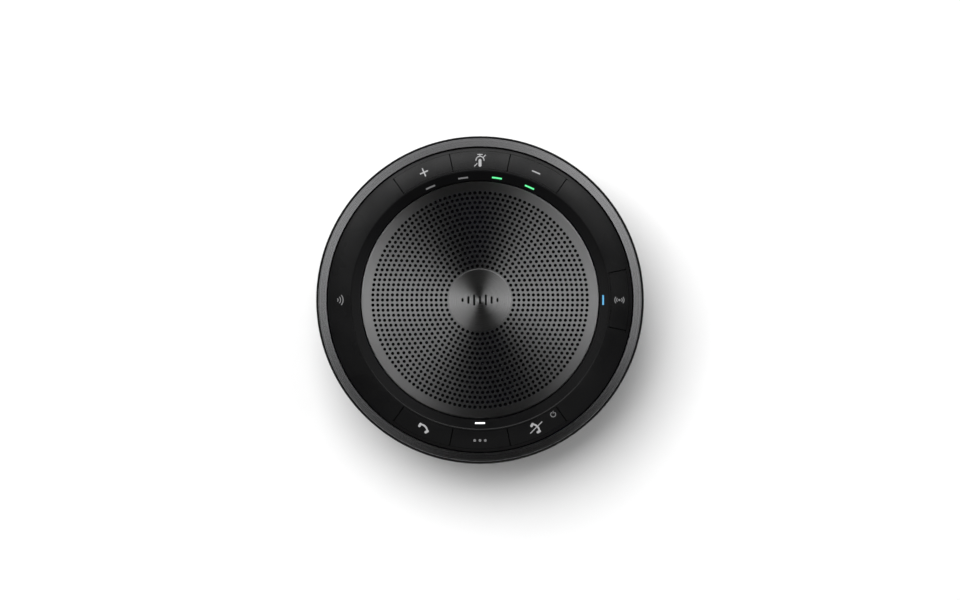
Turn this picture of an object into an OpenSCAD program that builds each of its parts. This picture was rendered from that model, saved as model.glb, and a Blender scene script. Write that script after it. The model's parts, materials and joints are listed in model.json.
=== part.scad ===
// Conference speakerphone: a round table unit with a ring of keys around a perforated loudspeaker grille.
// Millimetres. +Z is up, the unit stands on z = 0, and its axis is the Z axis.
// -Y is the side with the call keys, +Y the side with the volume keys and the cable socket.

/* [Body] */
// Largest diameter, at the shoulder of the lower housing
body_d = 130; // [128:1:136]
// Height from the table to the crest of the key ring
body_h = 33; // [33:0.5:36]
// Width of the bright trim ring, seen from above
trim_w = 3.3; // [3:0.1:3.6]

/* [Grille] */
// Diameter of the holes in the grille
hole_d = 1.3; // [0.9:0.1:1.4]
// Distance from one circle of holes to the next
hole_pitch = 1.93; // [1.8:0.01:1.98]
// Thickness of the grille sheet
grille_t = 0.8; // [0.6:0.1:1]

/* [Keys] */
// Angle from the middle of one key to the next
key_step = 23.7; // [22:0.1:25]
// Width of the gap between two keys
key_gap = 0.4; // [0.3:0.05:0.6]
// How far a key travels when it is pressed
key_travel = 0.5; // [0.3:0.05:0.5]

/* [Loudspeaker] */
// Radius of the moving cone at its outer edge
cone_r = 20; // [18:0.5:21]
// Travel of the cone to each side of rest
cone_travel = 1.5; // [0.5:0.1:1.5]

/* [Hidden] */
$fn = 96;

fit = 0.05;          // clearance of parts that are pressed together by hand
sliding = 0.1;       // clearance around a key
tilt_in = 22;        // slope of the indicator groove, in degrees

// Radii, from the outside in
body_r = body_d / 2;
rim_w = 1;
trim_r = body_r - rim_w;
trim_in_r = trim_r - trim_w;
ring_r = trim_in_r - 0.4;
key_out_r = ring_r - 1.45;
crest_r = ring_r - 8.9;
key_in_r = crest_r + 0.45;
groove_r = crest_r - 4;
guide_r = groove_r + 1.3;
grille_r = groove_r - 0.5;
grille_rim = 0.8;

// Heights
crest_z = body_h;
grille_z = crest_z - 1.4;
trim_z = crest_z - 0.75;
shoulder_z = crest_z - 3.7;
ring_under_z = crest_z - 3;
deck_z = crest_z - 8.6;
deck_t = 1.6;
board_t = 1.6;
board_z = deck_z;
board_top = board_z + board_t;
baffle_z = crest_z - 3.5 - cone_travel;
base_z = 1.6;
wall = 2;
floor_z = base_z + 1.8;
pcb_z = 9.4;
pcb_top = pcb_z + board_t;
pcb_r = 54;

// Curved top of the key ring: an arc that starts level at the crest and falls away outwards
top_bend_r = 60;

// Depth of the step in the housing that the trim ring sits in, and top of the chassis's outer rim
trim_step = 1.7;
chassis_rim_z = crest_z - 6.6;

// The housing's side is a quarter of an ellipse
base_r = body_r - 17;
side_top_z = shoulder_z - 2.3;

// Foot, screws and bosses
foot_in_r = 35;
foot_out_r = 46;
foot_rise = 0.8;
boss_r = 3.2;
boss_place_r = 40.5;
boss_angles = [45, 135, 225, 315];
screw_r = 1.25;
screw_room = 0.15;
thread_fit = 0.03;
small_screw_r = 0.8;
screw_head_r = 2.3;
screw_head_t = 1.5;
screw_length = 12;
screw_seat_z = base_z + foot_rise + screw_head_t + 0.3;

// Keys: [angle of the middle, anticlockwise from +X]
top_middle = 90;
bottom_middle = 270;
switch_r = crest_r + 2.6;
switch_size = 5;
switch_t = 2;
switch_bore_r = 1.25;
switch_button_r = 1.2;
switch_floor = 0.3;
switch_button_rise = key_travel + 0.1;
key_flange_t = 0.7;
key_flange_w = 0.45;
key_flange_top = ring_under_z - fit;

// Indicators
guide_l = 3.9;
guide_w = 0.7;
led_t = 0.8;
top_guides = [-1, -1/3, 1/3, 1];

// Microphones
mic_angles = [30, 90, 150, 210, 270, 330];
mic_r = ring_r - 2.3;
mic_boot = [2.7, 4.6, 2.4];
mic_size = [1.7, 3.6, 1.1];
mic_port_r = 0.6;

// Grille pattern: circle k holds 6 k holes
first_circle = 7;
last_circle = 22;
centre_disc_r = 12.4;
centre_disc_t = 0.5;

// Loudspeaker
flange_r = 29;
flange_z = baffle_z - 1.3;
gasket_t = 0.3;
basket_t = 0.8;
basket_neck_r = 16;
surround_r = 25.4;
basket_low_z = flange_z - 7.9;
plate_t = 2;
magnet_t = 3.6;
back_t = 1.8;
magnet_r = 14;
magnet_in_r = 8.6;
pole_r = 6;
gap_r = 7.6;
coil_in_r = 6.3;
coil_former_t = 0.2;
coil_winding_t = 0.6;
cone_t = 0.5;
neck_r = coil_in_r + coil_former_t;
speaker_hole_r = 25.9;
speaker_screw_angles = [0, 90, 180, 270];

// Socket for the cable
port_well = [13.4, 7.4];
port_wall = 1.4;
port_floor_y = 56.9;
usb_size = [8.94, 7.3, 3.2];
port_z = pcb_top + usb_size[2] / 2;
usb_mouth_y = port_floor_y + 0.3;

// Battery
cell = [50, 34, 5];
pad_t = 0.4;

// Points of an arc around (x, y), from angle a to angle b in n steps
function arc(x, y, r, a, b, n) = [
    for (i = [0 : n]) let (t = a + (b - a) * i / n) [x + r * cos(t), y + r * sin(t)]];

// Height of the key ring's top at radius r, outside the crest
function top_z(r) = crest_z - top_bend_r + sqrt(top_bend_r * top_bend_r - (r - crest_r) * (r - crest_r));

// The same surface as points from radius a to radius b
function top_points(a, b, n) = [for (i = [0 : n]) [a + (b - a) * i / n, top_z(a + (b - a) * i / n)]];

// The housing's side, from the flat base up, moved in by the distance inset
function side_points(inset, n) = [for (i = [0 : n]) [
    base_r + (body_r - base_r - inset) * sin(90 * i / n),
    side_top_z - (side_top_z - base_z - inset) * cos(90 * i / n)]];

// Puts children at angle a and radius r, with +X pointing away from the axis
module place(a, r, z = 0) {
    rotate([0, 0, a]) translate([r, 0, z]) children();
}

// A box centred in X and Y that stands on z = 0
module block(size) {
    translate([-size[0] / 2, -size[1] / 2, 0]) cube(size);
}

// A flat ring
module washer(r_out, r_in, t) {
    linear_extrude(t) difference() {
        circle(r_out);
        circle(r_in);
    }
}

// A rectangle with round corners, centred
module rounded(w, h, r) {
    square([w - 2 * r, h], center = true);
    square([w, h - 2 * r], center = true);
    for (x = [-1, 1], y = [-1, 1])
        translate([x * (w / 2 - r), y * (h / 2 - r)]) circle(r);
}

// A ring sector between two radii, half_gap clear of the two radial planes
module sector(r_in, r_out, half_angle, half_gap, z, h) {
    reach = 2 * r_out;
    corner = half_gap / sin(half_angle);
    translate([0, 0, z]) linear_extrude(h) intersection() {
        difference() {
            circle(r_out);
            circle(r_in);
        }
        polygon([
            [corner, 0],
            [corner + reach * cos(half_angle), reach * sin(half_angle)],
            [corner + reach * cos(half_angle), -reach * sin(half_angle)]]);
    }
}

// A pan-head screw with a cross recess; its head's underside is at z = 0 and its shaft points up
module screw(r, head_r, head_t, length) {
    slot_w = head_r * 0.28;
    slot_l = head_r * 1.24;
    slot_depth = head_t * 0.55;
    difference() {
        union() {
            cylinder(r = r, h = length);
            translate([0, 0, -head_t]) rotate_extrude() polygon(concat(
                [[0, 0], [0, head_t], [head_r, head_t]],
                arc(head_r - head_t * 0.5, head_t * 0.5, head_t * 0.5, 0, -90, 5)));
        }
        for (a = [0, 90]) rotate([0, 0, a])
            translate([-slot_l / 2, -slot_w / 2, -head_t - 1]) cube([slot_l, slot_w, 1 + slot_depth]);
    }
}

// A short screw whose shaft points down from z = 0
module small_screw(length) {
    mirror([0, 0, 1]) screw(small_screw_r, 1.5, 0.9, length);
}

// A round wire along a list of points, as one closed mesh
module wire(path, r) {
    sides = 8;
    n = len(path);
    aside = [0.31, 0.94, 0.12];
    function unit(v) = v / norm(v);
    function along(i) = unit(path[min(i + 1, n - 1)] - path[max(i - 1, 0)]);
    function spoke(i, k) = let (u = unit(cross(along(i), aside)), v = cross(along(i), u), t = 360 * k / sides)
        path[i] + r * (u * cos(t) + v * sin(t));
    points = [for (i = [0 : n - 1], k = [0 : sides - 1]) spoke(i, k)];
    walls = [for (i = [0 : n - 2], k = [0 : sides - 1])
        let (low = i * sides, high = low + sides, next = (k + 1) % sides)
        each [[low + k, high + next, low + next], [low + k, high + k, high + next]]];
    start = [for (k = [0 : sides - 1]) k];
    end = [for (k = [sides - 1 : -1 : 0]) (n - 1) * sides + k];
    polyhedron(points = points, faces = concat(walls, [start, end]));
}

// ---------- Casing ----------

module lower_housing() {
    steps = 16;
    inside = side_points(wall, steps);
    color([0.07, 0.07, 0.075]) difference() {
        union() {
            rotate_extrude() polygon(concat(
                [[0, base_z], [foot_in_r - fit, base_z], [foot_in_r - fit, base_z + foot_rise]],
                [[foot_out_r + fit, base_z + foot_rise], [foot_out_r + fit, base_z]],
                side_points(0, steps),
                [[body_r, shoulder_z - 0.3], [body_r - 0.25, shoulder_z]],
                [[trim_r + fit, shoulder_z], [trim_r + fit, shoulder_z - trim_step]],
                [[body_r - wall, shoulder_z - trim_step]],
                [for (i = [steps : -1 : 0]) inside[i]],
                [[0, floor_z + 0.2]]));
            for (a = boss_angles) place(a, boss_place_r) translate([0, 0, floor_z - 0.5])
                cylinder(r = boss_r, h = pcb_z - floor_z + 0.5);
            battery_ribs();
            port_well_block();
        }
        for (a = boss_angles) place(a, boss_place_r) {
            cylinder(r = screw_head_r + 0.2, h = screw_seat_z);
            cylinder(r = screw_r + screw_room, h = pcb_z + 1);
        }
        port_well_cut();
    }
}

// Low walls on the floor that hold the battery
module battery_ribs() {
    rib = 1;
    h = 4.2;
    translate([0, 0, floor_z - 0.5]) linear_extrude(h) difference() {
        square([cell[0] + 1 + 2 * rib, cell[1] + 1 + 2 * rib], center = true);
        square([cell[0] + 1, cell[1] + 1], center = true);
        translate([-cell[0] / 2 - 2 * rib, 0]) square([6 * rib, 14], center = true);
    }
}

// The recess that the cable's plug goes into, as a solid block inside the wall
module port_well_block() {
    intersection() {
        translate([0, port_floor_y - port_wall, port_z]) rotate([-90, 0, 0])
            linear_extrude(10) rounded(port_well[0] + 2 * port_wall, port_well[1] + 2 * port_wall, 3);
        rotate_extrude() polygon(concat([[0, base_z]], side_points(0, 16), [[0, side_top_z]]));
    }
}

module port_well_cut() {
    translate([0, port_floor_y, port_z]) rotate([-90, 0, 0])
        linear_extrude(12) rounded(port_well[0], port_well[1], 2.2);
    translate([0, port_floor_y - 3, port_z]) rotate([-90, 0, 0])
        linear_extrude(5) rounded(usb_size[0] + 0.3, usb_size[2] + 0.3, 1.6);
}

// Non-slip ring in the underside, which also covers the screws
module foot_ring() {
    soft = 0.5;
    top = base_z + foot_rise - fit;
    color([0.04, 0.04, 0.04]) rotate_extrude() polygon(concat(
        [[foot_in_r, top]],
        arc(foot_in_r + soft, soft, soft, 180, 270, 4),
        arc(foot_out_r - soft, soft, soft, 270, 360, 4),
        [[foot_out_r, top]]));
}

module base_screws() {
    color([0.55, 0.55, 0.57]) for (a = boss_angles) place(a, boss_place_r, screw_seat_z)
        screw(screw_r, screw_head_r, screw_head_t, screw_length);
}

// Bright ring around the keys: a sloping face with a round outer edge, and a lip that sits in the housing
module trim_ring() {
    edge = 0.3;
    wall_t = 1;
    skirt_low = chassis_rim_z + 0.1;
    step_low = shoulder_z - trim_step + 0.1;
    slope_z = trim_z - 1.95;
    color([0.36, 0.36, 0.37]) rotate_extrude() polygon(concat(
        [[trim_in_r, skirt_low], [trim_in_r, trim_z - 0.12], [trim_in_r + 0.12, trim_z]],
        arc(trim_r - edge, slope_z - 0.2, edge, 60, 0, 5),
        [[trim_r, step_low], [trim_r - wall_t, step_low]],
        [[trim_r - wall_t, slope_z - 1.1], [trim_in_r + wall_t, trim_z - 1.5]],
        [[trim_in_r + wall_t, skirt_low]]));
}

// Inner frame: a baffle for the loudspeaker, a seat for the grille and a trough for the key board
module chassis() {
    seat_in_r = grille_r - grille_rim - 0.9;
    seat_z = grille_z - 1.4;
    rim_r = groove_r - 0.3;
    rim_t = 1.6;
    outer_r = ring_r + 0.15;
    plate_t = 1.8;
    cup_r = flange_r + 0.3;
    cup_z = flange_z - gasket_t;
    cup_low = cup_z - 2;
    rib_t = 1.2;
    color([0.1, 0.1, 0.105]) difference() {
        union() {
            rotate_extrude() polygon([
                [speaker_hole_r, cup_low], [speaker_hole_r, cup_z], [cup_r, cup_z], [cup_r, baffle_z],
                [seat_in_r, baffle_z], [seat_in_r, seat_z], [rim_r, seat_z], [rim_r, deck_z],
                [outer_r, deck_z], [outer_r, chassis_rim_z],
                [trim_in_r + 0.9, chassis_rim_z], [trim_in_r + 0.9, deck_z - deck_t],
                [rim_r - rim_t, deck_z - deck_t], [rim_r - rim_t, baffle_z - plate_t],
                [cup_r + 1.7, baffle_z - plate_t], [cup_r + 1.7, cup_low]]);
            for (a = boss_angles) place(a, boss_place_r, pcb_top)
                cylinder(r = boss_r, h = baffle_z - 1 - pcb_top);
            for (a = boss_angles) place(a, boss_place_r) translate([2.5, -rib_t / 2, deck_z - deck_t - 6])
                cube([rim_r - boss_place_r - 3, rib_t, 8]);
        }
        for (a = boss_angles) place(a, boss_place_r, pcb_top - 1)
            cylinder(r = screw_r + thread_fit, h = screw_length);
        for (a = speaker_screw_angles) place(a, flange_r - 1.7, flange_z - 4)
            cylinder(r = small_screw_r + thread_fit, h = 5);
        for (a = board_screw_angles) place(a, board_screw_r, deck_z - 3)
            cylinder(r = small_screw_r + thread_fit, h = 5);
        ribbon_slot();
    }
}

// ---------- Key ring and keys ----------

board_screw_angles = [20, 45, 135, 160, 200, 225, 315, 340];
board_screw_r = crest_r + 2;

// The whole section of the ring: groove slope, round crest, falling top, plain underside with two skirts
module ring_section(lift = 0) {
    bend = 1.6;
    rise = tan(tilt_in);
    crest_start = crest_r - bend * sin(tilt_in);
    crest_low = crest_z - bend * (1 - cos(tilt_in));
    polygon(concat(
        [[groove_r, ring_under_z], [groove_r, crest_low - (crest_start - groove_r) * rise + lift]],
        [for (i = [0 : 6]) let (a = 90 + tilt_in * (1 - i / 6))
            [crest_r + bend * cos(a), crest_z - bend + bend * sin(a) + lift]],
        [for (p = top_points(crest_r + 0.8, ring_r - 0.5, 9)) [p[0], p[1] + lift]],
        arc(ring_r - 0.45, top_z(ring_r - 0.45) - 0.45 + lift, 0.45, 70, 0, 4),
        [[ring_r, ring_under_z]]));
}

// The opening in the ring for one key or for three
module key_window(half_angle) {
    sector(key_in_r - sliding, key_out_r + sliding, half_angle, -key_gap / 2, ring_under_z - 1, 8);
}

module key_ring() {
    inner_skirt_z = board_top + fit;
    color([0.05, 0.05, 0.052]) difference() {
        union() {
            rotate_extrude() ring_section();
            translate([0, 0, inner_skirt_z]) washer(groove_r + 0.65, groove_r, ring_under_z - inner_skirt_z);
            translate([0, 0, deck_z + fit]) washer(ring_r, ring_r - 0.8, ring_under_z - deck_z - fit);
        }
        for (m = [top_middle, bottom_middle]) rotate([0, 0, m])
            key_window(key_step * 1.5);
        key_window(key_step / 2);
        all_guides(fit, 0);
        for (a = mic_angles) place(a, ring_r - 1.5, board_top + 1.2) rotate([0, 90, 0])
            cylinder(r = mic_port_r, h = 3);
    }
}

// One key around the angle a: a cap between the gaps, lips that hold it in the ring, and a stem
module key(a) {
    button_top = board_top + switch_t + switch_button_rise;
    flange_z_low = key_flange_top - key_flange_t;
    color([0.05, 0.05, 0.052]) rotate([0, 0, a]) {
        intersection() {
            sector(key_in_r, key_out_r, key_step / 2, key_gap / 2, key_flange_top - 0.1, 8);
            rotate_extrude() ring_section();
        }
        sector(key_in_r, key_out_r, key_step / 2, key_gap / 2, flange_z_low, key_flange_t + 0.2);
        sector(key_in_r - key_flange_w, key_out_r + key_flange_w, key_step / 2, key_gap / 2 + 0.3,
            flange_z_low, key_flange_t);
        translate([switch_r, 0, button_top]) cylinder(r = 1.6, h = key_flange_top - button_top - 0.1);
    }
}

// The moving button of a key's switch
module switch_button(a) {
    low = board_top + switch_floor + key_travel + 0.1;
    color([0.85, 0.82, 0.74]) place(a, switch_r, low)
        cylinder(r = switch_button_r, h = board_top + switch_t + switch_button_rise - low);
}

key_angles = [top_middle + key_step, top_middle, top_middle - key_step,
    bottom_middle - key_step, bottom_middle, bottom_middle + key_step, 0];

// Switch bodies on the key board
module key_switches() {
    color([0.5, 0.5, 0.52]) for (a = key_angles) place(a, switch_r, board_top) difference() {
        block([switch_size, switch_size, switch_t]);
        translate([0, 0, switch_floor]) cylinder(r = switch_bore_r, h = switch_t);
    }
}

// Ring-shaped board under the keys
module key_board() {
    color([0.03, 0.03, 0.03]) difference() {
        translate([0, 0, board_z]) washer(ring_r - 0.8 - 0.2, groove_r - 0.1, board_t);
        for (a = board_screw_angles) place(a, board_screw_r, board_z - 1) cylinder(r = 1.1, h = 4);
        place(ribbon_angle, ribbon_r, board_z - 1) block([1, ribbon_w + 1, 4]);
    }
}

module board_screws() {
    color([0.6, 0.6, 0.62]) for (a = board_screw_angles) place(a, board_screw_r, board_top)
        small_screw(3);
}

// ---------- Indicators and microphones ----------

// A light guide at angle a, from just above its lamp to the surface of the groove
module guide(a, grow = 0, rise = 0.04) {
    low = board_top + led_t + 0.15;
    intersection() {
        place(a, guide_r, low) block([guide_w + 2 * grow, guide_l + 2 * grow, 8]);
        rotate_extrude() ring_section(rise + (grow > 0 ? 2 : 0));
    }
    place(a, guide_r, low) block([guide_w + 2 * grow, guide_l + 2 * grow, ring_under_z - low + 0.2]);
}

module all_guides(grow, rise) {
    for (k = top_guides) guide(top_middle - k * key_step, grow, rise);
    guide(bottom_middle, grow, rise);
    guide(0, grow, rise);
}

module clear_light_guides() {
    color([0.62, 0.62, 0.62]) for (k = [-1, -1/3]) guide(top_middle - k * key_step);
}

module green_light_guides() {
    color([0.3, 0.95, 0.5]) for (k = [1/3, 1]) guide(top_middle - k * key_step);
}

module call_light_guide() {
    color([0.95, 0.95, 0.95]) guide(bottom_middle);
}

module pairing_light_guide() {
    color([0.35, 0.6, 0.8]) guide(0);
}

// Lamps on the key board, one under each light guide
module indicator_leds() {
    color([0.9, 0.9, 0.82]) {
        for (k = top_guides) place(top_middle - k * key_step, guide_r, board_top) block([0.8, 1.6, led_t]);
        for (a = [bottom_middle, 0]) place(a, guide_r, board_top) block([0.8, 1.6, led_t]);
    }
}

// Rubber boots that seal each microphone against the ring's outer skirt
module microphone_boots() {
    color([0.12, 0.12, 0.12]) for (a = mic_angles) place(a, mic_r, board_top) difference() {
        block(mic_boot);
        translate([0.2, 0, 0]) block([mic_size[0] + 0.1, mic_size[1] + 0.1, mic_size[2] + 0.1]);
        translate([0, 0, 1.2]) rotate([0, 90, 0]) cylinder(r = mic_port_r, h = 3);
    }
}

module microphones() {
    color([0.8, 0.7, 0.4]) for (a = mic_angles) place(a, mic_r + 0.2, board_top) block(mic_size);
}

// ---------- Grille ----------

module grille() {
    plate_r = grille_r - 3;
    color([0.3, 0.3, 0.31]) difference() {
        union() {
            translate([0, 0, grille_z - grille_t]) linear_extrude(grille_t) difference() {
                circle(plate_r);
                for (k = [first_circle : last_circle], i = [0 : 6 * k - 1])
                    rotate([0, 0, 60 * i / k]) translate([k * hole_pitch, 0]) circle(hole_d / 2);
            }
            rotate_extrude() polygon([
                [plate_r, grille_z - grille_t], [plate_r, grille_z], [grille_r - 0.35, grille_z],
                [grille_r, grille_z - 0.35], [grille_r, grille_z - 1.4],
                [grille_r - grille_rim, grille_z - 1.4], [grille_r - grille_rim, grille_z - grille_t]]);
        }
        translate([0, 0, grille_z - centre_disc_t + 0.1]) cylinder(r = centre_disc_r + fit, h = 2);
    }
}

// Turned disc set into the middle of the grille
module centre_disc() {
    low = grille_z - centre_disc_t + 0.1;
    color([0.36, 0.36, 0.37]) rotate_extrude() polygon([
        [0, low], [0, low + centre_disc_t], [centre_disc_r - 0.15, low + centre_disc_t],
        [centre_disc_r, low + centre_disc_t - 0.15], [centre_disc_r, low]]);
}

// Black cloth behind the holes
module acoustic_mesh() {
    color([0.02, 0.02, 0.02]) translate([0, 0, grille_z - grille_t - 0.3])
        cylinder(r = grille_r - grille_rim - 0.1, h = 0.2);
}

// ---------- Loudspeaker ----------

module speaker_gasket() {
    color([0.15, 0.15, 0.15]) difference() {
        translate([0, 0, flange_z - gasket_t]) washer(flange_r, speaker_hole_r, gasket_t);
        for (a = speaker_screw_angles) place(a, flange_r - 1.7, flange_z - 1) cylinder(r = 1, h = 2);
    }
}

// Steel frame of the loudspeaker: flange, sloping wall with windows, and floor
module speaker_basket() {
    low = basket_low_z;
    color([0.16, 0.16, 0.17]) difference() {
        rotate_extrude() polygon([
            [gap_r + 0.2, low], [gap_r + 0.2, low + 0.6], [basket_neck_r - 1, low + 0.6],
            [basket_neck_r - 1, low + 1.5], [basket_neck_r + 0.2, low + 1.5],
            [surround_r - basket_t - 0.4, flange_z + 0.1], [surround_r - basket_t - 0.4, flange_z + basket_t],
            [flange_r, flange_z + basket_t], [flange_r, flange_z],
            [surround_r, flange_z], [basket_neck_r + 1, low + 0.8], [basket_neck_r + 0.4, low]]);
        for (a = [0 : 60 : 300]) rotate([0, 0, a + 30])
            sector(basket_neck_r + 2, surround_r - 2.2, 19, 0, low + 0.9, flange_z - low - 1.5);
        for (a = speaker_screw_angles) place(a, flange_r - 1.7, flange_z - 1) cylinder(r = 0.95, h = 3);
    }
}

module speaker_screws() {
    color([0.6, 0.6, 0.62]) for (a = speaker_screw_angles) place(a, flange_r - 1.7, flange_z + basket_t)
        small_screw(2.9);
}

// Rubber half-roll between the cone and the flange
module speaker_surround() {
    t = 0.5;
    z = flange_z + basket_t;
    roll_r = (surround_r - cone_r - 1.4) / 2;
    mid = cone_r + 0.4 + roll_r;
    color([0.05, 0.05, 0.05]) rotate_extrude() polygon(concat(
        [[cone_r - 1, z], [cone_r - 1, z + t * 0.6], [mid - roll_r, z + t * 0.6]],
        arc(mid, z, roll_r, 165, 15, 12),
        [[mid + roll_r, z + t * 0.6], [surround_r, z + t * 0.6], [surround_r, z]],
        [[mid + roll_r - t, z]],
        arc(mid, z, roll_r - t, 15, 165, 12),
        [[mid - roll_r + t, z]]));
}

// Corrugated cloth that centres the voice coil
module speaker_spider() {
    z = basket_low_z + 1.5;
    t = 0.3;
    wave = 0.45;
    inner = neck_r;
    outer = basket_neck_r + 0.1;
    n = 32;
    ridges = 4;
    function height(i) = z + t / 2 + wave + wave * sin(360 * ridges * i / n - 90);
    function at(i) = inner + (outer - inner) * i / n;
    color([0.75, 0.62, 0.3]) rotate_extrude() polygon(concat(
        [for (i = [0 : n]) [at(i), height(i) + t / 2]],
        [for (i = [n : -1 : 0]) [at(i), height(i) - t / 2]]));
}

// Strip under the basket's rim that the leads are soldered to
module speaker_terminals() {
    strip = [6.4, 7, 0.8];
    color([0.55, 0.4, 0.2]) translate([basket_neck_r + 1.8, 0, basket_low_z - strip[2]]) block(strip);
}

module speaker_cone() {
    low = basket_low_z + 2.6;
    high = flange_z + basket_t - 0.05;
    inner = neck_r + 0.02;
    color([0.08, 0.08, 0.09]) rotate_extrude() polygon([
        [inner, low], [inner, low + cone_t], [neck_r + 0.5, low + cone_t + 0.3],
        [cone_r - 1, high], [cone_r, high], [cone_r, high - 0.3],
        [cone_r - 1, high - cone_t - 0.1], [neck_r + 0.8, low]]);
}

module dust_cap() {
    low = basket_low_z + 3.9;
    rim_r = neck_r + 1.6;
    color([0.06, 0.06, 0.065]) rotate_extrude() polygon(concat(
        [for (i = [0 : 8]) [rim_r * i / 8, low + 1.8 * (1 - pow(i / 8, 2)) + 0.4]],
        [for (i = [8 : -1 : 0]) [rim_r * i / 8, low + 1.8 * (1 - pow(i / 8, 2))]]));
}

// Paper former with its copper winding
module voice_coil() {
    low = basket_low_z - 3;
    color([0.72, 0.42, 0.2]) {
        translate([0, 0, low]) washer(neck_r, coil_in_r, 3 + 2.9);
        translate([0, 0, low + 0.2]) washer(neck_r + coil_winding_t, neck_r - 0.05, 3.2);
    }
}

module top_plate() {
    color([0.6, 0.6, 0.62]) translate([0, 0, basket_low_z - plate_t]) washer(magnet_r - 0.6, gap_r, plate_t);
}

module magnet() {
    color([0.2, 0.2, 0.21]) translate([0, 0, basket_low_z - plate_t - magnet_t])
        washer(magnet_r, magnet_in_r, magnet_t);
}

// Round plate with the pole that stands in the voice coil
module back_plate() {
    low = basket_low_z - plate_t - magnet_t - back_t;
    color([0.62, 0.62, 0.64]) translate([0, 0, low]) {
        cylinder(r = magnet_r - 0.6, h = back_t);
        cylinder(r = pole_r, h = back_t + magnet_t + plate_t);
    }
}

// ---------- Main board, socket and battery ----------

module main_board() {
    color([0.03, 0.18, 0.09]) translate([0, 0, pcb_z]) linear_extrude(board_t) difference() {
        circle(pcb_r);
        for (a = boss_angles) rotate([0, 0, a]) translate([boss_place_r, 0]) circle(screw_r + screw_room);
    }
}

module shield_can() {
    size = [20, 16, 2.2];
    t = 0.3;
    color([0.75, 0.75, 0.77]) translate([-33, 0, pcb_top]) difference() {
        block(size);
        translate([0, 0, -t]) block([size[0] - 2 * t, size[1] - 2 * t, size[2]]);
    }
}

// Integrated circuits and coils: [place on the board, size]
chips = [
    [[33, 8], [7, 7, 0.9]],
    [[33, -6], [5, 5, 0.8]],
    [[24, 22], [6, 4, 0.9]],
    [[-22, 26], [5, 6, 1]],
    [[-20, -26], [6, 6, 0.9]],
    [[4, -36], [9, 6, 1.1]],
    [[-6, 36], [4, 4, 0.8]]
];

module board_chips() {
    color([0.05, 0.05, 0.05]) for (chip = chips) translate([chip[0][0], chip[0][1], pcb_top]) block(chip[1]);
}

capacitor_places = [[18, -38], [26, -36], [44, 4], [44, 13], [-44, 18]];
capacitor_r = 3.1;
capacitor_h = 6.4;

module capacitors() {
    color([0.7, 0.7, 0.72]) for (p = capacitor_places) translate([p[0], p[1], pcb_top]) {
        block([2 * capacitor_r + 0.2, 2 * capacitor_r + 0.2, 0.8]);
        cylinder(r = capacitor_r, h = capacitor_h);
    }
}

ribbon_angle = 185;
ribbon_r = crest_r + 5.4;
ribbon_w = 10;
ribbon_low_l = 4.5;
ribbon_high_l = 3;

// Connectors for the battery, the loudspeaker and the ribbon cable
module board_connectors() {
    battery_plug = [5, 6, 3.4];
    speaker_plug = [6, 5, 3.6];
    low_clamp = [4, ribbon_w + 3, 1.6];
    high_clamp = [1.8, ribbon_w + 2, 1.2];
    color([0.9, 0.88, 0.8]) {
        translate([-40, -16, pcb_z - battery_plug[2]]) block(battery_plug);
        translate([22, -24, pcb_top]) block(speaker_plug);
        place(ribbon_angle, ribbon_r - ribbon_low_l - low_clamp[0] / 2, pcb_top) block(low_clamp);
        place(ribbon_angle, ribbon_r - ribbon_high_l - high_clamp[0] / 2, board_top) block(high_clamp);
    }
}

// Steel shell of the cable's socket, open towards the outside
module usb_socket() {
    t = 0.3;
    color([0.72, 0.72, 0.74]) translate([0, usb_mouth_y - usb_size[1], pcb_top + usb_size[2] / 2])
        rotate([-90, 0, 0]) difference() {
            linear_extrude(usb_size[1]) rounded(usb_size[0], usb_size[2], 1.55);
            translate([0, 0, 1]) linear_extrude(usb_size[1])
                rounded(usb_size[0] - 2 * t, usb_size[2] - 2 * t, 1.25);
        }
}

module usb_tongue() {
    color([0.08, 0.08, 0.08]) translate([0, usb_mouth_y - usb_size[1] + 1, pcb_top + usb_size[2] / 2])
        translate([-3.3, 0, -0.35]) cube([6.6, 5.4, 0.7]);
}

module battery_pad() {
    color([0.2, 0.2, 0.2]) translate([0, 0, floor_z + 0.2]) block([cell[0] - 6, cell[1] - 6, pad_t]);
}

// Flat rechargeable cell with its folded end
module battery_cell() {
    color([0.75, 0.76, 0.78]) translate([0, 0, floor_z + 0.2 + pad_t]) {
        block([cell[0] - 3, cell[1], cell[2] - 0.6]);
        translate([-(cell[0] - 3) / 2 - 0.7, 0, 0.6]) block([1.6, cell[1] - 3, cell[2] - 1.8]);
    }
}

// Routes of the two leads, as points along one wire
battery_route = [
    [-25.8, 0, 6], [-28, 0, 6], [-31, -1, 6.2], [-34, -3, 6.4],
    [-37, -6, 6.7], [-39, -9, 7.1], [-40, -12.85, 7.4]];
speaker_route = [
    [22, -21.4, 13], [22, -18, 12.8], [21, -13, 12.8], [20, -8, 13],
    [19, -3, 14], [18.5, -0.5, 16], [18.5, -0.4, 17.85]];

module pair_of_wires(route, r, shift) {
    for (s = [-0.5, 0.5]) wire([for (p = route) p + s * shift], r);
}

module battery_lead() {
    color([0.7, 0.1, 0.08]) pair_of_wires(battery_route, 0.5, [0, 0, 1.3]);
}

module speaker_lead() {
    color([0.6, 0.6, 0.62]) pair_of_wires(speaker_route, 0.4, [1.1, 0, 0]);
}

// Opening in the chassis that the ribbon cable passes through
module ribbon_slot() {
    place(ribbon_angle, ribbon_r, deck_z - deck_t - 1) block([1.2, ribbon_w + 1, deck_t + 2]);
}

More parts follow.
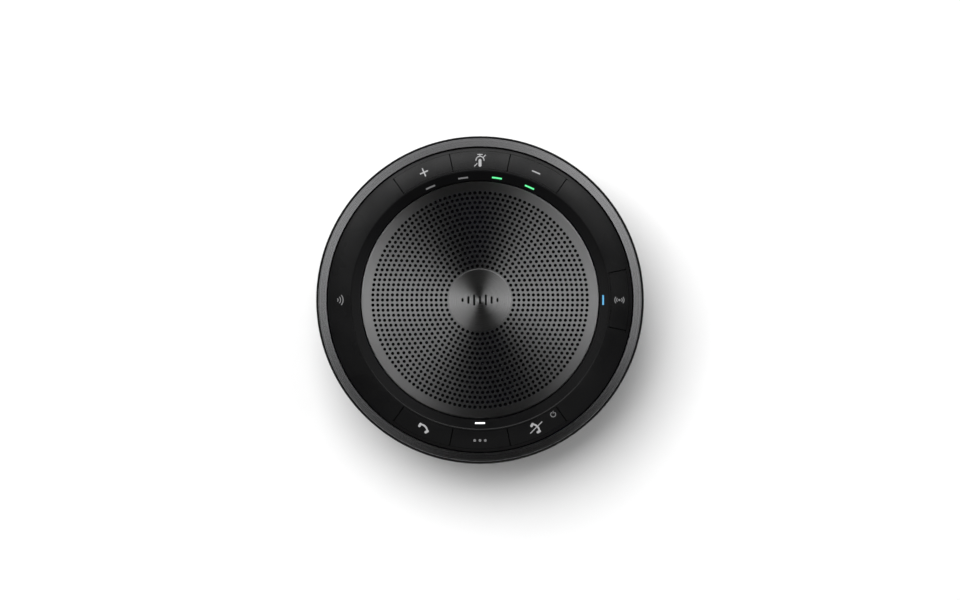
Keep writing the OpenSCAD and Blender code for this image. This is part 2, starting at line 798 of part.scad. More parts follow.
// Flat cable from the key board down to the main board
module ribbon_cable() {
    t = 0.25;
    low = pcb_top + 0.8;
    high = board_top + 0.2;
    bend = 1.2;
    color([0.75, 0.45, 0.12]) place(ribbon_angle, ribbon_r) rotate([90, 0, 0])
        translate([0, 0, -ribbon_w / 2]) linear_extrude(ribbon_w) polygon(concat(
            [[-ribbon_low_l, low + t], [-ribbon_low_l, low]],
            arc(-bend + t / 2, low + bend, bend, 270, 360, 6),
            arc(-bend + t / 2, high - bend + t, bend, 0, 90, 6),
            [[-ribbon_high_l, high + t], [-ribbon_high_l, high]],
            arc(-bend + t / 2, high - bend + t, bend - t, 90, 0, 6),
            arc(-bend + t / 2, low + bend, bend - t, 360, 270, 6)));
}

// ---------- Assembly ----------

lower_housing();
foot_ring();
base_screws();
trim_ring();
chassis();
key_ring();
key(key_angles[0]);  // volume_up_key
key(key_angles[1]);  // mute_key
key(key_angles[2]);  // volume_down_key
key(key_angles[3]);  // answer_key
key(key_angles[4]);  // menu_key
key(key_angles[5]);  // hangup_key
key(key_angles[6]);  // pairing_key
switch_button(key_angles[0]);  // volume_up_switch_button
switch_button(key_angles[1]);  // mute_switch_button
switch_button(key_angles[2]);  // volume_down_switch_button
switch_button(key_angles[3]);  // answer_switch_button
switch_button(key_angles[4]);  // menu_switch_button
switch_button(key_angles[5]);  // hangup_switch_button
switch_button(key_angles[6]);  // pairing_switch_button
key_switches();
key_board();
indicator_leds();
clear_light_guides();
green_light_guides();
call_light_guide();
pairing_light_guide();
microphone_boots();
microphones();
board_screws();
grille();
centre_disc();
acoustic_mesh();
speaker_gasket();
speaker_basket();
speaker_surround();
speaker_spider();
speaker_cone();
dust_cap();
voice_coil();
top_plate();
magnet();
back_plate();
speaker_terminals();
speaker_screws();
main_board();
shield_can();
board_chips();
capacitors();
board_connectors();
usb_socket();
usb_tongue();
battery_cell();
battery_pad();
battery_lead();
speaker_lead();
ribbon_cable();
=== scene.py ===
import json
import math

import bmesh
import bpy
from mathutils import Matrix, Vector


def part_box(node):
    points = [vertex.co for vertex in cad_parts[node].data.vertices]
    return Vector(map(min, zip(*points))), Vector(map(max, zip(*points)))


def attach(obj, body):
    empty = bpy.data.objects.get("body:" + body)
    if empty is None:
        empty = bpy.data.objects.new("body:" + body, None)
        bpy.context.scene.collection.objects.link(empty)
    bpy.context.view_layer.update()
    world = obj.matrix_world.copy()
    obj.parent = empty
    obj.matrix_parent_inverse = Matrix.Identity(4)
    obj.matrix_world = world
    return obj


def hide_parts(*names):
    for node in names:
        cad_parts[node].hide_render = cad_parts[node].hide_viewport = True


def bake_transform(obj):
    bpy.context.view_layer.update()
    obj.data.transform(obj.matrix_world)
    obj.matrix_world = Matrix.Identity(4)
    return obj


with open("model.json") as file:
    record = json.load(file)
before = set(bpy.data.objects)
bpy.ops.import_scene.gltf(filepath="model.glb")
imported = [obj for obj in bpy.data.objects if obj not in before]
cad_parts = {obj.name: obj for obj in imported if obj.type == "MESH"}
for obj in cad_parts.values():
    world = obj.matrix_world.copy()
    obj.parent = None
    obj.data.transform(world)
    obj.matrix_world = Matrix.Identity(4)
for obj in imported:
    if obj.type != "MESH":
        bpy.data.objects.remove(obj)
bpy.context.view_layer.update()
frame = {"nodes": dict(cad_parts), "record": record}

MM = 0.001

# ---------------------------------------------------------------- places taken from the frame

BODY_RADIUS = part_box("lower_housing")[1].x
SHOULDER_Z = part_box("lower_housing")[1].z
CREST_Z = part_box("key_ring")[1].z
DISC_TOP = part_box("centre_disc")[1].z

# The key ring falls outwards from its crest in a wide arc; the keys lie between the crest and its edge
KEY_BAND = 8.9 * MM
CREST_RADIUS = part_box("key_ring")[1].x - KEY_BAND
TOP_BEND_RADIUS = 60 * MM
KEY_STEP = math.radians(23.7)

# The nearest light guide lies across the Y axis, and the others are as far from the centre
near_guide_low, near_guide_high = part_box("call_light_guide")
GUIDE_RADIUS = -(near_guide_low.y + near_guide_high.y) / 2

RIGHT_SIDE = 0
FAR_SIDE = math.radians(90)
LEFT_SIDE = math.radians(180)
NEAR_SIDE = math.radians(270)


def ring_top(radius):
    """Height of the key ring's upper surface outside its crest."""
    reach = max(radius - CREST_RADIUS, 0)
    return CREST_Z - TOP_BEND_RADIUS + math.sqrt(TOP_BEND_RADIUS ** 2 - reach ** 2)


# ---------------------------------------------------------------- material building blocks


class Shader:
    """A material with one Principled shader, and short ways to add nodes to it."""

    def __init__(self, name):
        self.material = bpy.data.materials.new(name)
        self.material.use_nodes = True
        self.tree = self.material.node_tree
        self.tree.nodes.clear()
        self.output = self.tree.nodes.new("ShaderNodeOutputMaterial")
        self.main = self.tree.nodes.new("ShaderNodeBsdfPrincipled")
        self.link(self.main.outputs["BSDF"], self.output.inputs["Surface"])
        self.place = self.tree.nodes.new("ShaderNodeTexCoord").outputs["Object"]

    def link(self, source, target):
        self.tree.links.new(source, target)

    def put(self, socket, value):
        if hasattr(value, "is_linked"):
            self.link(value, socket)
        else:
            socket.default_value = value

    def math(self, operation, a, b=0.0, c=0.0):
        node = self.tree.nodes.new("ShaderNodeMath")
        node.operation = operation
        for socket, value in zip(node.inputs, (a, b, c)):
            self.put(socket, value)
        return node.outputs[0]

    def noise(self, scale, detail=2.0, vector=None, dimensions="3D"):
        node = self.tree.nodes.new("ShaderNodeTexNoise")
        node.noise_dimensions = dimensions
        node.inputs["Scale"].default_value = scale
        node.inputs["Detail"].default_value = detail
        if dimensions == "1D":
            self.link(vector, node.inputs["W"])
        else:
            self.link(vector or self.place, node.inputs["Vector"])
        return node.outputs["Fac"]

    def spread(self, value, low, high, start=0.3, end=0.7):
        node = self.tree.nodes.new("ShaderNodeMapRange")
        self.link(value, node.inputs["Value"])
        for name, number in (("From Min", start), ("From Max", end), ("To Min", low), ("To Max", high)):
            node.inputs[name].default_value = number
        return node.outputs["Result"]

    def mix(self, factor, first, second):
        node = self.tree.nodes.new("ShaderNodeMix")
        node.data_type = "RGBA"
        self.put(node.inputs["Factor"], factor)
        self.put(node.inputs["A"], first if hasattr(first, "is_linked") else (*first, 1))
        self.put(node.inputs["B"], second if hasattr(second, "is_linked") else (*second, 1))
        return node.outputs["Result"]

    def bump(self, height, distance, strength=1.0):
        node = self.tree.nodes.new("ShaderNodeBump")
        node.inputs["Strength"].default_value = strength
        node.inputs["Distance"].default_value = distance
        self.link(height, node.inputs["Height"])
        self.link(node.outputs["Normal"], self.main.inputs["Normal"])

    def axes(self):
        node = self.tree.nodes.new("ShaderNodeSeparateXYZ")
        self.link(self.place, node.inputs[0])
        return node.outputs

    def radius(self):
        x, y, z = self.axes()
        return self.math("SQRT", self.math("ADD", self.math("MULTIPLY", x, x), self.math("MULTIPLY", y, y)))

    def set(self, **values):
        for name, value in values.items():
            self.put(self.main.inputs[name.replace("_", " ")], value)


def tint(color, amount):
    """A colour made darker or paler."""
    return tuple(min(c * amount, 1) for c in color)


# Width of the slow changes of tone in a moulded surface, and of the unevenness of a frosted one
PATCH = 12 * MM
FROST = 0.5 * MM
# How far to either side of its middle a light guide stays pale, and where it is darkest
GUIDE_CORE = 0.1 * MM
GUIDE_EDGE = 0.36 * MM
# Width of the slow changes of tone in turned metal, and how much of its tone comes from the tool marks
CLOUD = 9 * MM
MARKS_SHARE = 0.65
# Wobble of woven threads and how far they stand up, as shares of a thread, and how many threads the wobble
# spans
UNEVEN = 0.8
THREAD_HEIGHT = 0.2
UNEVEN_SPAN = 3
# Spacing of a circuit board's tracks, the size of the areas where they run one way, their edges as shares
# of the wave that draws them, and their height
TRACK = 1.6 * MM
TRACK_AREA = 14 * MM
TRACK_EDGE = (0.35, 0.55)
TRACK_HEIGHT = 0.03 * MM
# Width and depth of rolling marks in sheet metal, and their width as a share of their length
ROLLING = 0.12 * MM
ROLLING_DEPTH = 0.004 * MM
ROLLING_STRETCH = 0.04


def grained(name, color, roughness, grain=0.25 * MM, depth=0.01 * MM, variation=0.12, metallic=0.0,
            specular=0.5):
    """Moulded plastic, rubber or cast metal: fine grain, slow changes of tone and uneven gloss."""
    shader = Shader(name)
    slow = shader.noise(1 / PATCH, 3)
    fine = shader.noise(1 / grain, 2)
    shader.set(Base_Color=shader.mix(slow, tint(color, 1 - variation), tint(color, 1 + variation)),
               Roughness=shader.spread(slow, roughness - 0.04, roughness + 0.05), Metallic=metallic)
    shader.main.inputs["Specular IOR Level"].default_value = specular
    shader.bump(fine, depth, 0.6)
    return shader


def turned(name, color, roughness, anisotropy, groove, variation, depth=0.002 * MM):
    """Metal faced on a lathe: circular tool marks, with gloss stretched across them."""
    shader = Shader(name)
    marks = shader.noise(1 / groove, 3, shader.radius(), "1D")
    slow = shader.noise(1 / CLOUD, 2)
    both = shader.math("MULTIPLY_ADD", slow, 1 - MARKS_SHARE, shader.math("MULTIPLY", marks, MARKS_SHARE))
    shader.set(Base_Color=shader.mix(both, tint(color, 1 - variation), tint(color, 1 + variation)),
               Roughness=shader.spread(marks, roughness - 0.03, roughness + 0.04), Metallic=1.0)
    shader.main.inputs["Anisotropic"].default_value = anisotropy
    shader.main.inputs["Anisotropic Rotation"].default_value = 0.25
    tangent = shader.tree.nodes.new("ShaderNodeTangent")
    tangent.direction_type = "RADIAL"
    tangent.axis = "Z"
    shader.link(tangent.outputs[0], shader.main.inputs["Tangent"])
    shader.bump(marks, depth, 0.5)
    return shader


def woven(name, color, thread, roughness=0.85, weave_shade=0.5, specular=0.5):
    """Plain weave: two crossed sets of threads, with a little unevenness. The colour is paler on the raised
    threads and darker where they dip, which is painted shade in the hollows of the weave.
    """
    shader = Shader(name)
    x, y, z = shader.axes()
    wobble = shader.math("MULTIPLY", shader.noise(1 / (UNEVEN_SPAN * thread)), thread * UNEVEN)
    turns = math.tau / thread
    warp = shader.math("SINE", shader.math("MULTIPLY", shader.math("ADD", x, wobble), turns))
    weft = shader.math("SINE", shader.math("MULTIPLY", shader.math("ADD", y, wobble), turns))
    height = shader.spread(shader.math("MULTIPLY", warp, weft), 0, 1, -1, 1)
    # Painted shade: the colour follows the height, darker where the threads dip and paler on their tops
    shader.set(Base_Color=shader.mix(height, tint(color, 1 - weave_shade), tint(color, 1 + weave_shade)),
               Roughness=roughness)
    shader.main.inputs["Specular IOR Level"].default_value = specular
    shader.bump(height, thread * THREAD_HEIGHT, 0.8)
    return shader


def frosted(name, color, edge_color, strength=0.0):
    """A frosted light guide, palest along its middle, with a slightly uneven grain. With a strength, its
    lamp is on."""
    shader = Shader(name)
    off_middle = shader.math("ABSOLUTE", shader.math("SUBTRACT", shader.radius(), GUIDE_RADIUS))
    core = shader.spread(off_middle, 1, 0, GUIDE_CORE, GUIDE_EDGE)
    grain = shader.spread(shader.noise(1 / FROST, 1), 0.8, 1)
    tone = shader.mix(shader.math("MULTIPLY", core, grain), edge_color, color)
    shader.set(Base_Color=tone, Roughness=0.4, Emission_Color=tone)
    shader.main.inputs["Emission Strength"].default_value = strength
    return shader


def laminate(name, color, copper):
    """Circuit board: solder mask over copper tracks that run in two directions."""
    shader = Shader(name)
    x, y, z = shader.axes()
    track = math.tau / TRACK
    lanes = shader.math("SINE", shader.math("MULTIPLY", x, track))
    cross = shader.math("SINE", shader.math("MULTIPLY", y, track))
    area = shader.spread(shader.noise(1 / TRACK_AREA, 1), 0, 1, 0.49, 0.51)
    runs = shader.math("MULTIPLY_ADD", area, shader.math("SUBTRACT", lanes, cross), cross)
    raised = shader.spread(runs, 0, 1, *TRACK_EDGE)
    shader.set(Base_Color=shader.mix(raised, color, copper), Roughness=0.35)
    shader.bump(raised, TRACK_HEIGHT, 0.7)
    return shader


def brushed(name, color, roughness):
    """Rolled or plated sheet metal: fine lines along X that are a little paler or duller."""
    shader = Shader(name)
    mapping = shader.tree.nodes.new("ShaderNodeMapping")
    mapping.inputs["Scale"].default_value = (ROLLING_STRETCH, 1, 1)
    shader.link(shader.place, mapping.inputs["Vector"])
    lines = shader.noise(1 / ROLLING, 2, mapping.outputs[0])
    shader.set(Base_Color=shader.mix(lines, tint(color, 0.85), tint(color, 1.1)),
               Roughness=shader.spread(lines, roughness - 0.08, roughness + 0.08), Metallic=1.0)
    shader.bump(lines, ROLLING_DEPTH, 0.5)
    return shader


# ---------------------------------------------------------------- the object's materials

MATERIALS = {
    "housing_plastic": grained("housing_plastic", (0.0045, 0.0045, 0.0047), 0.48, depth=0.02 * MM,
                               specular=0.2),
    "ring_plastic": grained("ring_plastic", (0.0019, 0.0019, 0.002), 0.28, grain=0.18 * MM,
                            depth=0.003 * MM, variation=0.08, specular=0.06),
    "trim_metal": turned("trim_metal", (0.31, 0.31, 0.315), 0.27, anisotropy=0.0, groove=0.2 * MM,
                         variation=0.05),
    "grille_metal": turned("grille_metal", (0.46, 0.46, 0.463), 0.33, anisotropy=0.94, groove=0.16 * MM,
                           variation=0.12),
    "disc_metal": turned("disc_metal", (0.64, 0.64, 0.643), 0.28, anisotropy=0.96, groove=0.1 * MM,
                         variation=0.16),
    "frame_plastic": grained("frame_plastic", (0.012, 0.012, 0.013), 0.6),
    "foot_rubber": grained("foot_rubber", (0.018, 0.018, 0.018), 0.78, grain=0.6 * MM, depth=0.05 * MM),
    "soft_rubber": grained("soft_rubber", (0.02, 0.02, 0.02), 0.7, grain=0.4 * MM, depth=0.02 * MM),
    "mesh_cloth": woven("mesh_cloth", (0.0016, 0.0016, 0.0016), 0.22 * MM, specular=0.02),
    "spider_cloth": woven("spider_cloth", (0.5, 0.33, 0.12), 0.5 * MM, weave_shade=0.2),
    "cone_paper": grained("cone_paper", (0.025, 0.025, 0.027), 0.85, grain=0.7 * MM, depth=0.06 * MM),
    "coil_copper": brushed("coil_copper", (0.72, 0.33, 0.16), 0.35),
    "basket_paint": grained("basket_paint", (0.02, 0.02, 0.021), 0.4),
    "ferrite": grained("ferrite", (0.045, 0.045, 0.05), 0.55, grain=0.5 * MM, depth=0.02 * MM,
                       metallic=0.3),
    "plated_steel": brushed("plated_steel", (0.6, 0.6, 0.62), 0.32),
    "board_laminate": laminate("board_laminate", (0.006, 0.07, 0.03), (0.02, 0.14, 0.05)),
    "dark_laminate": laminate("dark_laminate", (0.004, 0.004, 0.0045), (0.01, 0.01, 0.011)),
    "chip_plastic": grained("chip_plastic", (0.015, 0.015, 0.016), 0.5),
    "terminal_laminate": grained("terminal_laminate", (0.3, 0.16, 0.05), 0.6),
    "connector_plastic": grained("connector_plastic", (0.65, 0.6, 0.48), 0.5),
    "switch_metal": brushed("switch_metal", (0.5, 0.5, 0.52), 0.35),
    "switch_button_plastic": grained("switch_button_plastic", (0.65, 0.58, 0.42), 0.5),
    "capacitor_metal": brushed("capacitor_metal", (0.6, 0.6, 0.62), 0.3),
    "microphone_metal": brushed("microphone_metal", (0.75, 0.55, 0.22), 0.3),
    "led_plastic": grained("led_plastic", (0.75, 0.73, 0.5), 0.25),
    "guide_clear": frosted("guide_clear", (0.22, 0.22, 0.225), (0.05, 0.05, 0.05)),
    "guide_green": frosted("guide_green", (0.12, 0.75, 0.3), (0.01, 0.16, 0.035), strength=0.9),
    "guide_white": frosted("guide_white", (0.95, 0.96, 0.97), (0.14, 0.14, 0.145), strength=0.85),
    "guide_blue": frosted("guide_blue", (0.07, 0.3, 0.5), (0.01, 0.06, 0.13), strength=0.7),
    "cell_foil": brushed("cell_foil", (0.62, 0.63, 0.66), 0.4),
    "pad_foam": grained("pad_foam", (0.05, 0.05, 0.05), 0.9, grain=0.5 * MM, depth=0.1 * MM),
    "lead_insulation": grained("lead_insulation", (0.5, 0.02, 0.015), 0.45),
    "lead_insulation_grey": grained("lead_insulation_grey", (0.2, 0.2, 0.21), 0.45),
    "ribbon_film": grained("ribbon_film", (0.5, 0.2, 0.03), 0.3, grain=1 * MM, depth=0.02 * MM),
}


def ink(name, color, roughness=0.6, specular=0.5):
    """Printing ink: nearly even, with a very fine grain."""
    return grained(name, color, roughness, grain=0.2 * MM, depth=0.004 * MM, specular=specular).material


PRINT = ink("symbol_print", (0.34, 0.34, 0.345))
FAINT_PRINT = ink("faint_print", (0.16, 0.16, 0.163))
MARK = ink("centre_mark_print", (0.004, 0.004, 0.004), 0.55, 0.1)

slots = {part["node"]: part["material_slot"] for part in frame["record"]["subparts"]}

for node, slot in slots.items():
    cad = frame["nodes"][node]
    cad.data.materials.clear()
    cad.data.materials.append(MATERIALS[slot].material)

# ---------------------------------------------------------------- outlines of symbols, in millimetres


def round_line(a, b, width, steps=5):
    """Outline of a straight stroke with round ends, counted anticlockwise."""
    a, b = Vector(a), Vector(b)
    heading = math.atan2(b.y - a.y, b.x - a.x)
    points = []
    for centre, start in ((b, heading - math.pi / 2), (a, heading + math.pi / 2)):
        for i in range(steps + 1):
            angle = start + math.pi * i / steps
            points.append(circle_point(width / 2, angle, centre.x, centre.y))
    return points


def bar(width, height, x=0.0, y=0.0):
    """Outline of an upright rectangle, from its size and its middle."""
    w, h = width / 2, height / 2
    return [(x - w, y - h), (x + w, y - h), (x + w, y + h), (x - w, y + h)]


def circle_point(radius, angle, x=0.0, y=0.0):
    return (x + radius * math.cos(angle), y + radius * math.sin(angle))


def dot(radius, x=0.0, y=0.0, steps=20):
    """Outline of a full disc."""
    return [circle_point(radius, math.tau * i / steps, x, y) for i in range(steps)]


def arc_band(radius, width, start, end, x=0.0, y=0.0, steps=16):
    """Outline of a curved stroke between two angles, in degrees."""
    angles = [math.radians(start + (end - start) * i / steps) for i in range(steps + 1)]
    outer = [circle_point(radius + width / 2, a, x, y) for a in angles]
    inner = [circle_point(radius - width / 2, a, x, y) for a in angles]
    return outer + inner[::-1]


def turned_by(outline, degrees):
    """An outline turned round the symbol's middle."""
    c, s = math.cos(math.radians(degrees)), math.sin(math.radians(degrees))
    return [(x * c - y * s, x * s + y * c) for x, y in outline]


def handset():
    """A receiver seen from the side: a curved grip with an ear piece and a mouth piece."""
    shapes = [arc_band(2.8, 0.68, 38, 142, 0, -2.1)]
    for side in (-1, 1):
        shapes.append(round_line((side * 2.0, 0.05), (side * 1.75, -0.8), 1.0))
    return [turned_by(s, -45) for s in shapes]


def microphone():
    """A microphone on its stand, crossed out."""
    return [round_line((0, 1.9), (0, -0.1), 1.15, 8), arc_band(1.6, 0.36, 175, 365, 0, -0.1),
            bar(0.36, 0.7, 0, -2.05), round_line((-0.9, -2.45), (0.9, -2.45), 0.36),
            round_line((-2.2, -2.2), (2.2, 2.2), 0.34)]


SYMBOLS = {
    "plus": [bar(3.5, 0.5), bar(0.5, 1.5, 0, 1.0), bar(0.5, 1.5, 0, -1.0)],
    "minus": [bar(3.5, 0.5)],
    "microphone": [turned_by(s, 180) for s in microphone()],
    "handset": handset(),
    "handset_crossed": handset() + [round_line((-2.2, -2.2), (2.3, 2.3), 0.34)],
    "dots": [dot(0.55, x) for x in (-2.1, 0, 2.1)],
    "power": [arc_band(1.0, 0.32, -235, 55), bar(0.32, 1.0, 0, 0.85)],
    "wireless": [dot(0.45)] + [arc_band(r, 0.36, turn - 42, turn + 42)
                               for r in (1.1, 1.85) for turn in (0, 180)],
    "contactless": [arc_band(r, 0.38, -42, 42, -1.9) for r in (0.9, 1.9, 2.9)],
}


# ---------------------------------------------------------------- printed symbols

# How far ink stands above its surface and reaches below it, and how much each further outline of a symbol
# stands above the one before
INK_HEIGHT = 0.03 * MM
INK_DEPTH = 0.08 * MM
INK_STEP = 0.04


def printed(name, outlines, body, radius, angle, turn, material, surface=ring_top):
    """Ink on a surface: each outline becomes a thin closed solid that follows the surface's height.
    The outlines are turned by turn and moved to radius and angle. Each has an even number of points, and
    its first half runs back beside its second half, so strips of four points fill it."""
    centre = Vector(circle_point(radius, angle))
    mesh = bmesh.new()
    for layer, outline in enumerate(outlines):
        spin = turned_by(outline, math.degrees(turn))
        flat = [centre + Vector((x * MM, y * MM)) for x, y in spin]
        rise = INK_HEIGHT * (1 + INK_STEP * layer)
        high = [mesh.verts.new((p.x, p.y, surface(p.length) + rise)) for p in flat]
        low = [mesh.verts.new((p.x, p.y, surface(p.length) - INK_DEPTH)) for p in flat]
        count = len(flat)
        for i in range(count):
            j = (i + 1) % count
            mesh.faces.new((low[i], low[j], high[j], high[i]))
        for i in range(1, count // 2):
            for row in (high, low):
                mesh.faces.new((row[i - 1], row[i], row[count - 1 - i], row[count - i]))
    bmesh.ops.recalc_face_normals(mesh, faces=mesh.faces)
    data = bpy.data.meshes.new(name)
    mesh.to_mesh(data)
    mesh.free()
    data.materials.append(material)
    piece = bpy.data.objects.new(name, data)
    bpy.context.scene.collection.objects.link(piece)
    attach(piece, body)


# How far out from the crest the symbols stand
SYMBOL_OUT = 3.7 * MM
DOTS_OUT = 4.1 * MM
POWER_OUT = 2.25 * MM
POWER_STEP = math.radians(32.6)


def symbol(name, body, angle, turn=0.0, material=PRINT, out=SYMBOL_OUT):
    radius = CREST_RADIUS + out
    printed(name + "_symbol", SYMBOLS[name], body, radius, angle, turn, material)


symbol("plus", "volume_up_key", FAR_SIDE + KEY_STEP, KEY_STEP)
symbol("microphone", "mute_key", FAR_SIDE)
symbol("minus", "volume_down_key", FAR_SIDE - KEY_STEP, -KEY_STEP)
symbol("handset", "answer_key", NEAR_SIDE - KEY_STEP)
symbol("dots", "menu_key", NEAR_SIDE, material=FAINT_PRINT, out=DOTS_OUT)
symbol("handset_crossed", "hangup_key", NEAR_SIDE + KEY_STEP)
symbol("wireless", "pairing_key", RIGHT_SIDE, material=FAINT_PRINT)
symbol("power", "hangup_key", NEAR_SIDE + POWER_STEP, material=FAINT_PRINT, out=POWER_OUT)
symbol("contactless", "base", LEFT_SIDE, material=FAINT_PRINT)

# A row of bars of different heights, like a sound meter, in the middle of the disc
LEVELS = [1.62, 3.02, 4.42, 3.02, 4.42, 3.02, 1.62]
LEVEL_STEP = 2.3
LEVEL_WIDTH = 0.85


def level_bar(index, height):
    x = (index - len(LEVELS) // 2) * LEVEL_STEP
    reach = (height - LEVEL_WIDTH) / 2
    return round_line((x, -reach), (x, reach), LEVEL_WIDTH, 8)


def disc_top(radius):
    """Height of the centre disc, which is flat."""
    return DISC_TOP


level_bars = [level_bar(i, h) for i, h in enumerate(LEVELS)]
printed("level_mark", level_bars, "base", radius=0, angle=0, turn=0, material=MARK,
        surface=disc_top)

# ---------------------------------------------------------------- flexible rings of the loudspeaker

SECTORS = 12
SECTOR_ANGLE = math.tau / SECTORS


def sector_mesh(cad, middle):
    """The stretch of a CAD ring that lies half a sector to either side of an angle, as a closed mesh."""
    mesh = bmesh.new()
    mesh.from_mesh(cad.data)
    mesh.transform(cad.matrix_world)
    for side in (-1, 1):
        edge = middle + side * SECTOR_ANGLE / 2
        outwards = Vector((-math.sin(edge), math.cos(edge), 0)) * side
        everything = mesh.verts[:] + mesh.edges[:] + mesh.faces[:]
        cut = bmesh.ops.bisect_plane(mesh, geom=everything, plane_co=(0, 0, 0), plane_no=outwards,
                                     clear_outer=True)
        rim = [item for item in cut["geom_cut"] if isinstance(item, bmesh.types.BMEdge)]
        bmesh.ops.edgenet_fill(mesh, edges=rim)
    bmesh.ops.recalc_face_normals(mesh, faces=mesh.faces)
    data = bpy.data.meshes.new(cad.name + "_sector")
    mesh.to_mesh(data)
    mesh.free()
    return data


def flexible_ring(node):
    """The CAD ring remade as sectors, each cut from it along two radii and closed; neighbours agree where
    they meet. In the speaker the inner edge moves with the cone and the outer edge stays."""
    cad = frame["nodes"][node]
    for index in range(SECTORS):
        middle = index * SECTOR_ANGLE
        data = sector_mesh(cad, middle)
        data.materials.append(MATERIALS[slots[node]].material)
        piece = bpy.data.objects.new(f"{node}_{index}", data)
        bpy.context.scene.collection.objects.link(piece)
        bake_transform(piece)
        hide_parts(node)


flexible_ring("speaker_surround")
flexible_ring("speaker_spider")

# ---------------------------------------------------------------- floor, light and camera

FLOOR_SIZE = 8.0
floor_corners = [(x, y, 0) for x, y in bar(FLOOR_SIZE, FLOOR_SIZE)]
floor_data = bpy.data.meshes.new("floor")
floor_data.from_pydata(floor_corners, [], [(0, 1, 2, 3)])
floor = bpy.data.objects.new("floor", floor_data)
bpy.context.scene.collection.objects.link(floor)
floor_shader = grained("floor_paper", (0.86, 0.86, 0.86), 0.9, grain=1 * MM, depth=0.005 * MM,
                       variation=0.01, specular=0.0)
floor_data.materials.append(floor_shader.material)

LIGHT_DISTANCE = 1.3
LIGHT_TARGET = Vector((0, 0, 20 * MM))


def softbox(name, azimuth, elevation, size, power, glossy=True, receivers=None):
    """A soft light, at an azimuth and elevation in degrees, that points at the object. It lights only its
    receivers, if it has any."""
    data = bpy.data.lights.new(name, "AREA")
    data.shape = "RECTANGLE"
    data.size, data.size_y = size
    data.energy = power
    lamp = bpy.data.objects.new(name, data)
    bpy.context.scene.collection.objects.link(lamp)
    a, e = math.radians(azimuth), math.radians(elevation)
    towards = Vector((math.cos(e) * math.cos(a), math.cos(e) * math.sin(a), math.sin(e)))
    lamp.location = towards * LIGHT_DISTANCE
    lamp.rotation_euler = (LIGHT_TARGET - lamp.location).to_track_quat("-Z", "Y").to_euler()
    lamp.visible_glossy = glossy
    if receivers:
        group = bpy.data.collections.new(name + "_receivers")
        for obj in receivers:
            group.objects.link(obj)
        lamp.light_linking.receiver_collection = group


ring_parts = [frame["nodes"][node] for node, slot in slots.items() if slot == "ring_plastic"]
softbox("key_light", azimuth=120, elevation=56, size=(1.2, 1.2), power=24, glossy=False)
softbox("far_light", azimuth=93, elevation=73, size=(0.8, 0.35), power=13, receivers=ring_parts)
softbox("near_light", azimuth=285, elevation=73, size=(0.8, 0.35), power=1.3, receivers=ring_parts)

# Brightness of the studio's side panels, of the gap between them, and of the walls low down at the far and
# near side; how far the panels lean from the X axis, and how sharply they fade towards the gap
SIDE_PANELS = 7.6
GAP = 0.004
FAR_GLOW = 1.6
NEAR_GLOW = 0.02
PANEL_LEAN = math.radians(10)
PANEL_FADE = 2.05
# Heights between which the panels begin and end, and what is left of them overhead
PANEL_FOOT = (0.45, 0.65)
PANEL_HEAD = (0.63, 0.8)
OVERHEAD_SHARE = 0.02
# Heights between which the glow of the low walls ends
GLOW_HEAD = (0.2, 0.45)
# Where the panels grow from the gap to their full strength, as a share of the way to the side
SIDE_SPAN = (0.1, 0.93)
# Where the panels weaken towards the near side, and what is left of them there
NEAR_SPAN = (-0.55, 0.0)
NEAR_SHARE = 0.3
# Where the low walls brighten towards the far side
FAR_SPAN = (0.0, 0.9)
# Share of the studio's light that falls on matt surfaces
SOFT_SHARE = 0.5
BACKDROP = (0.9, 0.9, 0.9, 1)


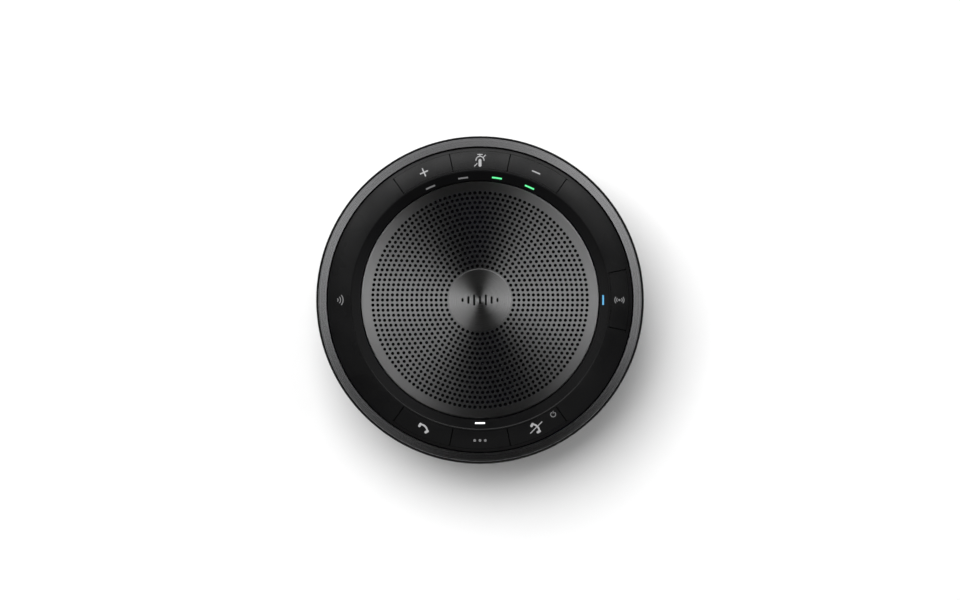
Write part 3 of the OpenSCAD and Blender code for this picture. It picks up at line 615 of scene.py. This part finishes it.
def studio_world():
    """Soft studio surroundings: wide panels at the left and right, dark overhead and at the near side, and
    a pale backdrop. Directions are unit vectors, so a height is 1 overhead and 0 at the horizon."""
    world = bpy.data.worlds.new("studio")
    bpy.context.scene.world = world
    world.use_nodes = True
    tree = world.node_tree
    tree.nodes.clear()

    def calc(operation, a, b=0.0, c=0.0):
        node = tree.nodes.new("ShaderNodeMath")
        node.operation = operation
        for socket, value in zip(node.inputs, (a, b, c)):
            if hasattr(value, "is_linked"):
                tree.links.new(value, socket)
            else:
                socket.default_value = value
        return node.outputs[0]

    def step(value, span, low, high):
        start, end = span
        node = tree.nodes.new("ShaderNodeMapRange")
        node.interpolation_type = "SMOOTHSTEP"
        tree.links.new(value, node.inputs["Value"])
        for name, number in (("From Min", start), ("From Max", end), ("To Min", low), ("To Max", high)):
            node.inputs[name].default_value = number
        return node.outputs["Result"]

    split = tree.nodes.new("ShaderNodeSeparateXYZ")
    tree.links.new(tree.nodes.new("ShaderNodeTexCoord").outputs["Generated"], split.inputs[0])
    x, y, z = split.outputs
    flat = calc("MAXIMUM", calc("SQRT", calc("ADD", calc("MULTIPLY", x, x), calc("MULTIPLY", y, y))), 0.001)
    across = calc("ADD", calc("MULTIPLY", x, math.cos(PANEL_LEAN)), calc("MULTIPLY", y, math.sin(PANEL_LEAN)))
    sideways = calc("ABSOLUTE", calc("DIVIDE", across, flat))
    side = calc("POWER", step(sideways, SIDE_SPAN, 0, 1), PANEL_FADE)
    towards_far = calc("DIVIDE", y, flat)
    panels = calc("MULTIPLY_ADD", side, SIDE_PANELS, GAP)
    panels = calc("MULTIPLY", panels, step(z, PANEL_HEAD, 1, OVERHEAD_SHARE))
    panels = calc("MULTIPLY", panels, step(towards_far, NEAR_SPAN, NEAR_SHARE, 1))
    low_glow = step(towards_far, FAR_SPAN, NEAR_GLOW, FAR_GLOW)
    bright = calc("ADD", calc("MULTIPLY", panels, step(z, PANEL_FOOT, 0, 1)),
                  calc("MULTIPLY", low_glow, step(z, GLOW_HEAD, 1, 0)))
    path = tree.nodes.new("ShaderNodeLightPath")
    share = calc("MULTIPLY_ADD", path.outputs["Is Diffuse Ray"], SOFT_SHARE - 1, 1)
    strength = calc("MULTIPLY", bright, share)

    seen = tree.nodes.new("ShaderNodeBackground")
    seen.inputs["Color"].default_value = BACKDROP
    lighting = tree.nodes.new("ShaderNodeBackground")
    tree.links.new(strength, lighting.inputs["Strength"])
    either = tree.nodes.new("ShaderNodeMixShader")
    tree.links.new(path.outputs["Is Camera Ray"], either.inputs[0])
    tree.links.new(lighting.outputs[0], either.inputs[1])
    tree.links.new(seen.outputs[0], either.inputs[2])
    out = tree.nodes.new("ShaderNodeOutputWorld")
    tree.links.new(either.outputs[0], out.inputs["Surface"])


studio_world()

# The camera looks straight down. The body takes up a set share of the picture's width, and the distance
# follows from it
SENSOR = 36.0
LENS = 100.0
WIDTH_IN_VIEW = 0.3415
VIEW_WIDTH = BODY_RADIUS * 2 / WIDTH_IN_VIEW
camera_data = bpy.data.cameras.new("camera")
camera_data.lens = LENS
camera_data.sensor_width = SENSOR
camera = bpy.data.objects.new("camera", camera_data)
camera.location = (0, 0, SHOULDER_Z + VIEW_WIDTH * LENS / SENSOR)
bpy.context.scene.collection.objects.link(camera)
bpy.context.scene.camera = camera
bpy.context.scene.view_settings.view_transform = "Standard"
